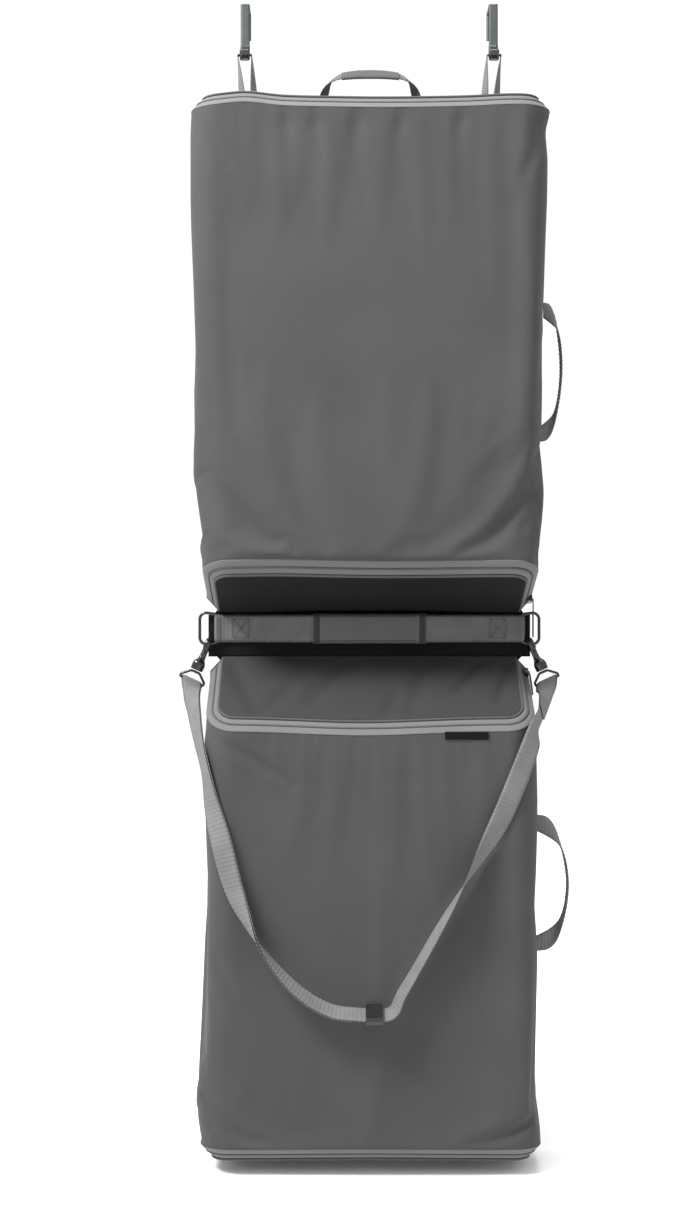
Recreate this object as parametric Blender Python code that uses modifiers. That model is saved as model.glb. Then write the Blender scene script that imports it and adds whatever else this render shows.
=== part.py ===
"""Bi-fold garment bag, hung on two over-door hooks.

Two soft cases hang one above the other and are joined along their backs by a narrow spine that carries
the carry handle and the shoulder strap. Each end of each case is a lid with a zip round three sides.
The frame: x = 0 in the middle, y = 0 on the door's front face, z = 0 on the top of the door, front at -y.
"""

import math

import bpy
from mathutils import Matrix, Vector

# Door hooks
DOOR = 0.040
HOOK_X = 0.171
HOOK_WIDTH = 0.014
HOOK_METAL = 0.002
TROUGH = Vector((0.0, -0.0105, -0.0685))
TROUGH_RADIUS = 0.0095
SWING_Z = -0.072

# Cases
BACK_Y = -0.006
FRONT_Y = -0.136
HINGE_Y = -0.010
BACK_PANEL = 0.003
SHELL_WALL = 0.002
CORNER_RADIUS = 0.038
BEVEL = 0.017
LID = 0.0024
TAPE = 0.0012
TAPE_SPLIT = 0.42
GAP = 0.0005
CORNER_STEPS = 6

# Each end of a case: half width, heights of the shell's edge and of the lid's edge at the front and the
# back, how far the lid's front edge stands behind the case's front, and which way its lid faces.
ENDS = {
    "upper_top": dict(half=0.237, shell=(-0.175, -0.175), lid=(-0.158, -0.158), depth=0.017, up=1),
    "upper_bottom": dict(half=0.222, shell=(-0.769, -0.816), lid=(-0.790, -0.836), depth=0.012, up=-1),
    "lower_top": dict(half=0.217, shell=(-0.991, -0.918), lid=(-0.974, -0.898), depth=0.017, up=1),
    "lower_bottom": dict(half=0.225, shell=(-1.5385, -1.5385), lid=(-1.5555, -1.5555), depth=0.017, up=-1),
}

# Spine, carry handle and D-rings
SPINE_TOP = -0.837
SPINE_BOTTOM = -0.898
SPINE_HALF = 0.214
CARRY_WEBBING = 0.038
CARRY_Z = -0.859
CARRY_THICK = 0.0016
CARRY_BOW = 0.013
RING_X = 0.209
RING_Y = -0.0145
RING_WIRE = 0.0018
RING_REACH = 0.0235
RING_HALF_HEIGHT = 0.0215

# Shoulder strap
STRAP_WIDTH = 0.028
STRAP_THICK = 0.0014
STRAP_LAYERS = 0.0022
HOOK_ON_RING = Vector((0.2215, RING_Y, CARRY_Z - RING_HALF_HEIGHT))
HOOK_SLANT = math.radians(24)
SWIVEL_DROP = 0.035
GATE_DROP = 0.0215
HOOK_RADIUS = 0.007
EYE_DROP = 0.055
EYE_BAR = 0.0018

# Grab handles
SIDE_WEBBING = 0.026
HANDLE_THICK = 0.002
HANDLE_Y = -0.071
TOP_HANDLE_Y = -0.062
TOP_HANDLE_LEAN = math.radians(30)

# Inside the cases
HANGER_BRACKET_HALF = 0.035
LOCK_BAR = Vector((0.0385, -0.030, -0.228))
GARMENT_STRAP_HALF = 0.190
GARMENT_STRAP_BOW = 0.032
GARMENT_STRAPS = {"upper": -0.500, "lower": -1.250}

# Each side handle: where the case's wall is at its upper and lower end, the heights of those ends, and how
# far it stands out.
SIDE_HANDLES = {
    "upper": dict(walls=(0.2318, 0.2276), top=-0.432, bottom=-0.598, reach=0.026),
    "lower": dict(walls=(0.2202, 0.2225), top=-1.118, bottom=-1.280, reach=0.043),
}

# Zips: where their sliders rest, how far their pullers hang and how far the hinge stands out
SLIDER_Y = HINGE_Y - 0.016
SLIDER_LENGTH = 0.012
PULLER_LENGTH = 0.052
PULLER_HINGE = 0.0088

LABEL_HALF = (0.0283, 0.0052)
LABEL_THICK = 0.0008
LABEL_PLACE = Vector((0.125, FRONT_Y - LABEL_THICK, -0.9975))

for obj in list(bpy.data.objects):
    bpy.data.objects.remove(obj)
parts = bpy.data.collections.new("garment_bag")
bpy.context.scene.collection.children.link(parts)
places = {}


def material(name, colour, roughness=0.85, metallic=0.0):
    made = bpy.data.materials.new(name)
    made.use_nodes = True
    shader = made.node_tree.nodes["Principled BSDF"]
    shader.inputs["Base Color"].default_value = (*colour, 1.0)
    shader.inputs["Roughness"].default_value = roughness
    shader.inputs["Metallic"].default_value = metallic
    made.diffuse_color = (*colour, 1.0)
    return made


# Finishes
POLYESTER = material("dark_grey_polyester", (0.10, 0.10, 0.105))
SPINE_POLYESTER = material("black_spine_fabric", (0.02, 0.02, 0.022))
TAPE_GREY = material("grey_zip_tape", (0.30, 0.30, 0.31))
WEBBING = material("grey_webbing", (0.24, 0.24, 0.25))
BOARD = material("board", (0.05, 0.05, 0.05), 0.6)
BLACK_METAL = material("black_metal", (0.012, 0.012, 0.013), 0.25, 0.8)
BLACK_PLASTIC = material("black_plastic", (0.015, 0.015, 0.016), 0.35)
HOOK_STEEL = material("grey_hook_strip", (0.10, 0.115, 0.115), 0.45, 0.4)


def pivot(name, place, parent=None):
    """An empty on a joint's axis, which the moving pieces are parented to."""
    empty = bpy.data.objects.new(name, None)
    empty.empty_display_size = 0.02
    parts.objects.link(empty)
    places[name] = Vector(place)
    empty.location = place
    if parent:
        empty.parent = parent
        empty.matrix_parent_inverse = Matrix.Translation(-places[parent.name])
    return empty


def add(name, data, finish, parent, matrix=None):
    """A new object in world place, which follows its parent from there."""
    obj = bpy.data.objects.new(name, data)
    parts.objects.link(obj)
    obj.data.materials.append(finish)
    if matrix is not None:
        obj.matrix_basis = matrix
    obj.parent = parent
    obj.matrix_parent_inverse = Matrix.Translation(-places[parent.name])
    return obj


def thicken(obj, thickness, offset=0.0):
    wall = obj.modifiers.new("thickness", "SOLIDIFY")
    wall.thickness = thickness
    wall.offset = offset
    wall.use_even_offset = True
    return obj


def smooth(obj, degrees=35):
    obj.data.shade_smooth()
    obj.data.set_sharp_from_angle(angle=math.radians(degrees))
    return obj


def lofted(name, rows):
    """A mesh through rows of points, with each row joined to the next."""
    count = len(rows[0])
    points = [point for row in rows for point in row]
    faces = []
    for row in range(len(rows) - 1):
        low, high = row * count, (row + 1) * count
        faces += [(low + i, low + i + 1, high + i + 1, high + i) for i in range(count - 1)]
    mesh = bpy.data.meshes.new(name)
    mesh.from_pydata([tuple(point) for point in points], [], faces)
    return mesh


def ribbon(name, path, sides, thickness, finish, parent):
    """Webbing or strip metal: a band along a path, each side vector reaching from the path to its edge."""
    rows = [(point - side, point + side) for point, side in zip(path, sides)]
    return smooth(thicken(add(name, lofted(name, rows), finish, parent), thickness))


def tube(name, points, radius, finish, parent, closed=False, radii=None, matrix=None):
    curve = bpy.data.curves.new(name, "CURVE")
    curve.dimensions = "3D"
    curve.bevel_depth = radius
    curve.bevel_resolution = 2
    curve.use_fill_caps = True
    spline = curve.splines.new("POLY")
    spline.points.add(len(points) - 1)
    for i, point in enumerate(points):
        spline.points[i].co = (*point, 1.0)
        spline.points[i].radius = radii[i] if radii else 1.0
    spline.use_cyclic_u = closed
    return add(name, curve, finish, parent, matrix)


def plate(name, outline, thickness, finish, parent, matrix, hole=None):
    """A flat outline, with its thickness shared between the two sides of its plane."""
    curve = bpy.data.curves.new(name, "CURVE")
    curve.dimensions = "2D"
    curve.fill_mode = "BOTH"
    curve.extrude = thickness / 2
    for ring in filter(None, (outline, hole)):
        spline = curve.splines.new("POLY")
        spline.points.add(len(ring) - 1)
        for i, (x, y) in enumerate(ring):
            spline.points[i].co = (x, y, 0.0, 1.0)
        spline.use_cyclic_u = True
    return add(name, curve, finish, parent, matrix)


def arc(centre, radius, start, end, steps):
    """Points on an arc in a plane, angles in degrees."""
    turns = [math.radians(start + (end - start) * i / steps) for i in range(steps + 1)]
    return [(centre[0] + radius * math.cos(t), centre[1] + radius * math.sin(t)) for t in turns]


def rectangle(half_x, half_y):
    return [(-half_x, -half_y), (half_x, -half_y), (half_x, half_y), (-half_x, half_y)]


def sleeve(name, path, sides, faces, wall, finish, parent):
    """A flattened tube round a strap, open at both ends, made of four walls round the path."""
    rows = []
    for point, side, face in zip(path, sides, faces):
        ring = [
            side + face * 0.4, side * 0.8 + face, -side * 0.8 + face, -side + face * 0.4,
            -side - face * 0.4, -side * 0.8 - face, side * 0.8 - face, side - face * 0.4,
        ]
        rows.append([point + corner for corner in ring + ring[:1]])
    obj = add(name, lofted(name, rows), finish, parent)
    weld = obj.modifiers.new("seam", "WELD")
    weld.merge_threshold = 0.00001
    return smooth(thicken(obj, wall, 1.0))


def mix(a, b, t):
    return a + (b - a) * t


# Case ends


def end_height(end, y, s):
    """Height of a case end's edge at depth y, for s from 0 on the shell to 1 on the lid."""
    front = FRONT_Y + s * end["depth"]
    at_front, at_back = (mix(end["shell"][i], end["lid"][i], s) for i in (0, 1))
    return mix(at_back, at_front, (HINGE_Y - y) / (HINGE_Y - front))


def end_loop(end, s, back=HINGE_Y - 0.003):
    """Points round the left, front and right of a case end, for s from 0 on the shell to 1 on the lid."""
    half, radius = end["half"] - s * BEVEL, CORNER_RADIUS - s * BEVEL
    front = FRONT_Y + s * end["depth"]
    side = [(-half, mix(back, front + radius, i / 3)) for i in range(3)]
    left = side + arc((-half + radius, front + radius), radius, 180, 270, CORNER_STEPS)
    right = [(-x, y) for x, y in reversed(left)]
    middle = [(x * half, front) for x in (-0.4, 0.0, 0.4)]
    return [Vector((x, y, end_height(end, y, s))) for x, y in left + middle + right]


def case_shell(name, top, bottom, finish, parent):
    """The front and both sides of a case, open at the back and at both ends."""
    high, low = end_loop(top, 0.0, HINGE_Y), end_loop(bottom, 0.0, HINGE_Y)
    steps = 6
    rows = [[a.lerp(b, i / steps) for a, b in zip(high, low)] for i in range(steps + 1)]
    return smooth(thicken(add(name, lofted(name, rows), finish, parent), SHELL_WALL, 1.0))


def back_outline(end, inset):
    half = end["half"] - inset
    lid_clearance = 0.0015
    lid_side = end["lid"][1] - end["up"] * (lid_clearance + inset)
    return [(half, end["shell"][1]), (half - BEVEL, lid_side)]


def back_panel(name, top, bottom, y, thickness, inset, finish, parent):
    right = list(reversed(back_outline(top, inset))) + back_outline(bottom, inset)
    outline = right + [(-x, z) for x, z in reversed(right)]
    upright = Matrix.Translation((0, y, 0)) @ Matrix.Rotation(math.pi / 2, 4, "X")
    return plate(name, outline, thickness, finish, parent, upright)


def lid(name, end, finish, parent):
    """A lid, flat, in the plane of its end, with its origin on the hinge line at the back."""
    front = FRONT_Y + end["depth"]
    drop = end_height(end, front, 1.0) - end["lid"][1]
    length = math.hypot(HINGE_Y - front, drop)
    half, radius = end["half"] - BEVEL - 0.0003, CORNER_RADIUS - BEVEL
    left = [(-half, -GAP)] + arc((-half + radius, radius - length), radius, 180, 270, CORNER_STEPS)
    outline = left + [(-x, y) for x, y in reversed(left)]
    slope = math.atan2(-drop, HINGE_Y - front)
    place = Matrix.Translation((0, HINGE_Y, end["lid"][1])) @ Matrix.Rotation(slope, 4, "X")
    return plate(name, outline, LID, finish, parent, place)


def zip_tape(name, end, start, stop, finish, parent):
    rows = [end_loop(end, start), end_loop(end, stop)]
    return smooth(thicken(add(name, lofted(name, rows), finish, parent), TAPE))


def slider_place(end, side, y):
    """Where a zip slider sits on the side of an end: x out of the case, y along the zip to the front."""
    middle = TAPE_SPLIT + 0.04
    here = Vector((side * (end["half"] - middle * BEVEL), y, end_height(end, y, middle)))
    step = 0.02
    ahead = Vector((here.x, y - step, end_height(end, y - step, middle)))
    along = (ahead - here).normalized()
    across = Vector((side, 0, 0))
    turn = Matrix((across, along, across.cross(along))).transposed().to_4x4()
    return Matrix.Translation(here) @ turn


def zip_slider(name, end, side, y, finish, parent):
    """A slider whose inner face is upright beside the lid's tape and slopes away over the shell's tape."""
    place = slider_place(end, side, y)
    lid_way = end["up"] if (place.to_3x3() @ Vector((0, 0, 1))).z > 0 else -end["up"]
    section = [(0.0016, 0.0045), (0.0018, 0.0), (0.0062, -0.0040), (0.0076, -0.0040), (0.0076, 0.0030)]
    outline = [(x, z * lid_way) for x, z in section]
    if lid_way < 0:
        outline.reverse()
    upright = Matrix.Rotation(math.pi / 2, 4, "X")
    return plate(name, outline, SLIDER_LENGTH, finish, parent, place @ upright)


def zip_puller(name, place, direction, axis, length, finish, parent):
    """A thin tag with a hole at its free end, hung from its hinge axis."""
    half, neck = 0.004, 0.002
    head, neck_end, full_width = 0.0008, -0.003, -0.009
    outline = [(-half, full_width), (-neck, neck_end), (-neck, head), (neck, head), (neck, neck_end)]
    outline += [(half, full_width)] + arc((0, -length + half), half, 0, -180, 6)
    hole = arc((0, -length + 2 * half), 0.0018, 0, 315, 7)
    down = -direction.normalized()
    turn = Matrix((axis, down, axis.cross(down))).transposed().to_4x4()
    return plate(name, outline, 0.0014, finish, parent, Matrix.Translation(place) @ turn, hole)


# Hooks and handles


def door_hook(side, parent):
    name = "door_hook_left" if side < 0 else "door_hook_right"
    half = HOOK_METAL / 2
    bend = arc((TROUGH.y, TROUGH.z), TROUGH_RADIUS, 0, -180, 10)
    profile = [(DOOR + half, -0.036), (DOOR + half, -0.001), (DOOR, half), (0.0, half), (-half, -0.001)]
    bend.append((TROUGH.y - TROUGH_RADIUS, TROUGH.z + 0.0015))
    path = [Vector((side * HOOK_X, y, z)) for y, z in profile + bend]
    sides = [Vector((HOOK_WIDTH / 2, 0, 0))] * len(path)
    return ribbon(name, path, sides, HOOK_METAL, HOOK_STEEL, parent)


def hanging_loop(side, parent):
    """A narrow webbing loop over the trough, its two legs turned flat against the case's back below."""
    name = "hanging_loop_left" if side < 0 else "hanging_loop_right"
    half, spread, foot = 0.0055, 0.0095, 0.165
    drop = [(0.0, 0.0), (0.3, 0.020), (0.65, 0.050), (1.0, 0.078), (1.0, 0.108)]
    bottom_y = BACK_Y + 0.0012
    path, sides = [], []
    for leg in (-1, 1):
        route, turned = [], []
        for t, down in drop:
            x = mix(HOOK_X * side + leg * spread, foot * side + leg * 0.0075, t)
            route.append(Vector((x, mix(TROUGH.y, bottom_y, t), SWING_Z - 0.002 - down)))
            angle = math.pi / 2 * t
            turned.append(Vector((leg * math.sin(angle), math.cos(angle), 0)) * half)
        if leg < 0:
            path += route[::-1]
            sides += turned[::-1]
            over = Vector((HOOK_X * side, TROUGH.y, SWING_Z))
            path += [over - Vector((0.0080, 0, 0)), over, over + Vector((0.0080, 0, 0))]
            sides += [Vector((0, half, 0))] * 3
        else:
            path += route
            sides += turned
    return ribbon(name, path, sides, 0.0013, WEBBING, parent)


def top_handle(parent):
    """A webbing arch on the top lid, leaning forward, with a wrapped grip in its middle."""
    rise = [(0.063, 0.0042), (0.062, 0.012), (0.058, 0.026), (0.050, 0.035), (0.038, 0.040), (0.020, 0.042)]
    arch = [(-x, h) for x, h in rise] + [(0.0, 0.0425)] + [(x, h) for x, h in reversed(rise)]
    base = ENDS["upper_top"]["lid"][0] + LID / 2
    up = Vector((0, -math.sin(TOP_HANDLE_LEAN), math.cos(TOP_HANDLE_LEAN)))
    path, sides, faces = [], [], []
    for x, h in arch:
        lean = min(1.0, h / 0.026) * TOP_HANDLE_LEAN
        path.append(Vector((x, TOP_HANDLE_Y, base)) + up * h)
        sides.append(Vector((0, math.cos(lean), math.sin(lean))) * mix(0.004, 0.013, min(1.0, h / 0.020)))
    ribbon("top_handle", path, sides, HANDLE_THICK, WEBBING, parent)
    middle = range(4, len(arch) - 4)
    for i in middle:
        along = (path[i + 1] - path[i - 1]).normalized()
        faces.append(along.cross(sides[i].normalized()) * 0.0019)
    grip_path = [path[i] for i in middle]
    grip_sides = [sides[i] * 1.06 for i in middle]
    sleeve("top_handle_grip", grip_path, grip_sides, faces, 0.0016, WEBBING, parent)


def side_handle(name, parent, walls, top, bottom, reach):
    """Webbing sewn upright into the side seam, twisted edge-on where it stands out from the case."""
    half = SIDE_WEBBING / 2
    shape = [(0.0, 0.0, 0.0), (0.35, 0.03, 0.1), (0.62, 0.09, 0.4), (0.80, 0.19, 0.8), (0.94, 0.33, 1.0)]
    shape += [(1.0, 0.5, 1.0)] + [(r, 1 - t, turn) for r, t, turn in reversed(shape)]
    path, sides = [], []
    for i, (out, t, turn) in enumerate(shape):
        path.append(Vector((mix(*walls, t) + reach * out, HANDLE_Y, mix(top, bottom, t))))
        angle = turn * math.pi / 2
        along = Vector((0, math.sin(angle), math.cos(angle)))
        sides.append(along * (half if turn > 0 else half * 0.8))
    return ribbon(name, path, sides, HANDLE_THICK, WEBBING, parent)


def carry_handle(parent):
    """Webbing along the spine: looped round both D-rings and bowed forward in the middle for the hand."""
    rear = BACK_Y - BACK_PANEL - 0.0003 - CARRY_THICK / 2
    front = rear - CARRY_THICK - 0.0004
    wrap = RING_WIRE + 0.0004 + CARRY_THICK / 2
    right = [(0.165, rear), (0.185, rear), (0.203, RING_Y + wrap)]
    right += arc((RING_X, RING_Y), wrap, 90, -90, 8)
    right += [(0.201, front - 0.0012), (0.190, front), (0.160, front), (0.140, front - 0.25 * CARRY_BOW)]
    right += [(0.115, front - 0.75 * CARRY_BOW), (0.090, front - CARRY_BOW), (0.045, front - CARRY_BOW)]
    flat = right + [(0.0, front - CARRY_BOW)] + [(-x, y) for x, y in reversed(right)]
    path = [Vector((x, y, CARRY_Z)) for x, y in flat]
    sides = [Vector((0, 0, CARRY_WEBBING / 2))] * len(path)
    ribbon("spine_webbing", path, sides, CARRY_THICK, WEBBING, parent)
    grip = [Vector((x, front - CARRY_BOW, CARRY_Z)) for x in (0.077, 0.026, -0.026, -0.077)]
    side = [Vector((0, 0, CARRY_WEBBING / 2 + 0.0012))] * 4
    face = [Vector((0, 0.0024, 0))] * 4
    sleeve("carry_handle_grip", grip, side, face, 0.0016, WEBBING, parent)


def d_ring(name, side, parent):
    half, reach = RING_HALF_HEIGHT, RING_REACH
    corner = 0.009
    bar = [(0.0, -half + 0.0012), (0.0, half - 0.0012), (0.0012, half)]
    bend = arc((reach - corner, half - corner), corner, 90, 0, 4)
    bend += arc((reach - corner, corner - half), corner, 0, -90, 4)
    ring = [Vector((side * (RING_X + x), RING_Y, CARRY_Z + z)) for x, z in bar + bend + [(0.0012, -half)]]
    return tube(name, ring, RING_WIRE, BLACK_METAL, parent, closed=True)


def hook_frame(side):
    """The snap hook's own axes at the D-ring: its length runs down and away from the middle."""
    top = Vector((side * HOOK_ON_RING.x, HOOK_ON_RING.y, HOOK_ON_RING.z))
    return Matrix.Translation(top) @ Matrix.Rotation(-side * HOOK_SLANT, 4, "Y")


def snap_hook(side_name, frame, parent, gate_parent):
    """A black snap hook round the D-ring's lower leg, with a sprung gate in front."""
    arch = arc((0, 0), HOOK_RADIUS, 0, 180, 8)
    line = [(0.0, -0.0385), (0.0, -0.0330), (0.0, -0.0285), (0.0050, -0.0235)]
    line += [(HOOK_RADIUS, -0.018)] + arch
    radii = [2.0, 2.0, 2.0, 1.25] + [1.0] * (len(line) - 4)
    line.append((-HOOK_RADIUS, -0.0065))
    radii.append(1.0)
    points = [Vector((0, y, z)) for y, z in line]
    tube("snap_hook_" + side_name, points, 0.0026, BLACK_METAL, parent, radii=radii, matrix=frame)
    gate = [Vector((0, -HOOK_RADIUS, -0.0100)), Vector((0, -HOOK_RADIUS, -GATE_DROP))]
    tube("snap_gate_" + side_name, gate, 0.0018, BLACK_METAL, gate_parent, matrix=frame)


def swivel_eye(side_name, frame, parent):
    """The loop below a snap hook, whose lower bar carries the strap."""
    half = STRAP_WIDTH / 2 + 0.003
    shoulder = -EYE_DROP + 0.004
    loop = [(-half, -EYE_DROP), (half, -EYE_DROP), (half, shoulder), (0.006, -0.0415), (-0.006, -0.0415)]
    points = [Vector((x, 0, z)) for x, z in loop + [(-half, shoulder)]]
    return tube("swivel_eye_" + side_name, points, EYE_BAR, BLACK_METAL, parent, closed=True, matrix=frame)


# The strap's middle line from the left eye round to the right one, and its roll: 0 faces the front and
# -90 shows its edge.
STRAP_ROUTE = [
    (-0.2373, -0.062, -0.960, -42), (-0.2279, -0.095, -1.004, -58), (-0.2163, -0.120, -1.048, -62),
    (-0.2070, -0.131, -1.092, -40), (-0.1951, -0.142, -1.135, -12), (-0.1785, -0.144, -1.196, -25),
    (-0.1600, -0.150, -1.240, -60), (-0.1426, -0.154, -1.272, -90), (-0.1105, -0.155, -1.312, -110),
    (-0.0831, -0.155, -1.336, -116), (-0.0533, -0.155, -1.352, -118), (-0.0240, -0.155, -1.357, -118),
    (0.0240, -0.155, -1.357, -118), (0.0400, -0.155, -1.331, -114), (0.0600, -0.155, -1.297, -110),
    (0.0884, -0.155, -1.247, -106), (0.1143, -0.154, -1.2025, -90), (0.1465, -0.148, -1.148, -45),
    (0.1702, -0.144, -1.104, -15), (0.1894, -0.143, -1.059, -12), (0.2068, -0.139, -1.015, -22),
    (0.2165, -0.124, -0.990, -42), (0.2290, -0.074, -0.970, -55),
]
GLIDE_AT = STRAP_ROUTE[12]


def smooth_route(points, steps):
    """Points on a smooth curve through the given ones, which may carry further values such as a roll."""
    ends = [points[0]] + points + [points[-1]]
    route = []
    for i in range(1, len(points)):
        a, b, c, d = (Vector(p) for p in ends[i - 1:i + 3])
        for k in range(steps):
            t = k / steps
            route.append(0.5 * (2 * b + (c - a) * t + (2 * a - 5 * b + 4 * c - d) * t * t
                                + (3 * b - a - 3 * c + d) * t ** 3))
    return route + [Vector(points[-1])]


def strap_band(route):
    """Path, side directions and face directions of the strap along a route of (x, y, z, roll)."""
    path = [Vector(p[:3]) for p in route]
    sides, faces = [], []
    for i, point in enumerate(route):
        along = (path[min(i + 1, len(path) - 1)] - path[max(i - 1, 0)]).normalized()
        face_on = along.cross(Vector((0, 1, 0))).normalized()
        deep = face_on.cross(along)
        roll = math.radians(point[3])
        side = (face_on * math.cos(roll) + deep * math.sin(roll)).normalized()
        sides.append(side)
        faces.append(side.cross(along).normalized())
    return path, sides, faces


def eye_turn(centre, side, toward, outward, radius, steps=6):
    """Points half way round an eye's bar, from one face of the strap to the other."""
    return [
        centre + (outward * math.cos(math.pi * i / steps) + toward * math.sin(math.pi * i / steps)) * radius
        for i in range(steps + 1)
    ]


def shoulder_strap(frames, parent):
    """One length of webbing: sewn back on itself at the right eye, doubled from the left eye to the slide."""
    left, right = (frame @ Vector((0, 0, -EYE_DROP)) for frame in frames)
    route = [(*left, -20)] + STRAP_ROUTE + [(*right, -20)]
    path, sides, faces = strap_band(smooth_route(route, 3))
    for i, point in enumerate(path):
        for eye, frame, way in ((left, frames[0], 1), (right, frames[1], -1)):
            turn_in = 1.0 - (point - eye).length / 0.040
            if turn_in > 0:
                bar = frame.to_3x3() @ Vector((way, 0, 0))
                along = (path[min(i + 1, len(path) - 1)] - path[max(i - 1, 0)]).normalized()
                sides[i] = sides[i].lerp(bar, min(1.0, 1.4 * turn_in)).normalized()
                faces[i] = sides[i].cross(along).normalized()
    wrap = EYE_BAR + 0.0004 + STRAP_THICK / 2
    slide = min(range(len(path)), key=lambda i: abs(path[i].x + 0.020) if path[i].z < -1.35 else 1.0)
    last = len(path) - 1

    def spread(i):
        """Half the distance between the layers, wider at the eyes where they part round the bar."""
        from_eye = min((path[i] - left).length, (path[i] - right).length)
        return mix(wrap, STRAP_LAYERS / 2, min(1.0, from_eye / 0.030))

    back_layer = [(path[i] - faces[i] * spread(i), sides[i]) for i in range(slide, 0, -1)]
    left_turn = eye_turn(left, sides[0], (path[0] - path[1]).normalized(), -faces[0], wrap)
    front_layer = [(path[i] + faces[i] * spread(i), sides[i]) for i in range(1, last)]
    right_turn = eye_turn(right, sides[last], (path[last] - path[last - 1]).normalized(), faces[last], wrap)
    sewn_end = [(path[i] - faces[i] * spread(i), sides[i]) for i in range(last - 1, last - 4, -1)]
    band = back_layer + [(p, sides[0]) for p in left_turn] + front_layer
    band += [(p, sides[last]) for p in right_turn] + sewn_end
    line = [point for point, side in band]
    edges = [side * STRAP_WIDTH / 2 for point, side in band]
    ribbon("shoulder_strap", line, edges, STRAP_THICK, WEBBING, parent)


def tri_glide(parent):
    """The frame that joins the strap's two layers to the single one, free to slide where it is straight."""
    roll = math.radians(GLIDE_AT[3])
    side = Vector((0, math.sin(roll), math.cos(roll)))
    face = side.cross(Vector((1, 0, 0)))
    ends = [Vector((x, *GLIDE_AT[1:3])) for x in (0.015, -0.007)]
    sides = [side * (STRAP_WIDTH / 2 + 0.0016)] * 2
    faces = [face * (STRAP_LAYERS / 2 + STRAP_THICK + 0.0008)] * 2
    sleeve("tri_glide", ends, sides, faces, 0.0022, BLACK_PLASTIC, parent)


def hanger_bracket(parent, bar_parent):
    """Inside the top of the upper case: a trough for the hangers' hooks, and the bar that locks them in."""
    rear = BACK_Y - BACK_PANEL - 0.0055
    profile = [(rear, -0.195), (rear, -0.233), (rear - 0.004, -0.238), (-0.040, -0.238), (-0.044, -0.234)]
    path = [Vector((0, y, z)) for y, z in profile + [(-0.044, -0.222)]]
    half = Vector((HANGER_BRACKET_HALF, 0, 0))
    ribbon("hanger_bracket", path, [half] * len(path), 0.003, BLACK_PLASTIC, parent)
    reach = [(-LOCK_BAR.x, LOCK_BAR.y, LOCK_BAR.z), (-LOCK_BAR.x, -0.0485, -0.2165)]
    bar = reach + [(-x, y, z) for x, y, z in reversed(reach)]
    tube("hanger_lock_bar", [Vector(p) for p in bar], 0.0016, BLACK_METAL, bar_parent)


def garment_strap(case, z, parent):
    """An elastic strap across the inside of a case, with its buckle in the middle."""
    rear = BACK_Y - BACK_PANEL - 0.006
    across = (-1, -0.85, -0.6, -0.3, 0, 0.3, 0.6, 0.85, 1)
    path = [Vector((GARMENT_STRAP_HALF * x, rear - GARMENT_STRAP_BOW * (1 - x ** 4), z)) for x in across]
    ribbon(case + "_garment_strap", path, [Vector((0, 0, 0.0125))] * len(path), 0.0014, WEBBING, parent)
    ends = [Vector((x, rear - GARMENT_STRAP_BOW, z)) for x in (0.022, -0.022)]
    side, face = [Vector((0, 0, 0.0140))] * 2, [Vector((0, 0.0026, 0))] * 2
    sleeve(case + "_strap_buckle", ends, side, face, 0.002, BLACK_PLASTIC, parent)


def build_case(case, top_name, bottom_name, parent, lid_parents):
    top, bottom = ENDS[top_name], ENDS[bottom_name]
    case_shell(case + "_shell", top, bottom, POLYESTER, parent)
    back_panel(case + "_back_panel", top, bottom, BACK_Y - BACK_PANEL / 2, BACK_PANEL, 0.0, POLYESTER, parent)
    board_y = BACK_Y - BACK_PANEL - 0.0015
    back_panel(case + "_back_board", top, bottom, board_y, 0.0016, 0.006, BOARD, parent)
    for name in (top_name, bottom_name):
        end, lid_parent = ENDS[name], lid_parents[name]
        lid(name + "_lid", end, POLYESTER, lid_parent)
        zip_tape(name + "_zip_shell_tape", end, 0.06, TAPE_SPLIT, TAPE_GREY, parent)
        zip_tape(name + "_zip_lid_tape", end, TAPE_SPLIT + 0.08, 0.93, TAPE_GREY, lid_parent)


def build_zip(name, case_parent):
    """A zip's slider at the right rear corner and its puller, hung down or laid along the zip."""
    end = ENDS[name]
    place = slider_place(end, 1, SLIDER_Y)
    slide = pivot(name + "_slide_joint", place.translation, case_parent)
    zip_slider(name + "_zip_slider", end, 1, SLIDER_Y, BLACK_METAL, slide)
    hinge_at = place @ Vector((PULLER_HINGE, 0, 0))
    puller = pivot(name + "_puller_joint", hinge_at, slide)
    if name == "upper_bottom":
        direction, axis = Vector((0, 0, -1)), Vector((0, 1, 0))
    else:
        direction, axis = (place.to_3x3() @ Vector(v) for v in ((0, 1, 0), (0, 0, 1)))
    zip_puller(name + "_zip_puller", hinge_at, direction, axis, PULLER_LENGTH, BLACK_METAL, puller)


def woven_label(parent):
    place = Matrix.Translation(LABEL_PLACE) @ Matrix.Rotation(math.pi / 2, 4, "X")
    plate("woven_label", rectangle(*LABEL_HALF), LABEL_THICK, BLACK_PLASTIC, parent, place)


def spine_panel(parent):
    half_height = (SPINE_TOP - SPINE_BOTTOM) / 2 - GAP
    middle = Vector((0, BACK_Y - BACK_PANEL / 2, (SPINE_TOP + SPINE_BOTTOM) / 2))
    place = Matrix.Translation(middle) @ Matrix.Rotation(math.pi / 2, 4, "X")
    plate("spine_panel", rectangle(SPINE_HALF, half_height), BACK_PANEL, SPINE_POLYESTER, parent, place)


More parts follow.
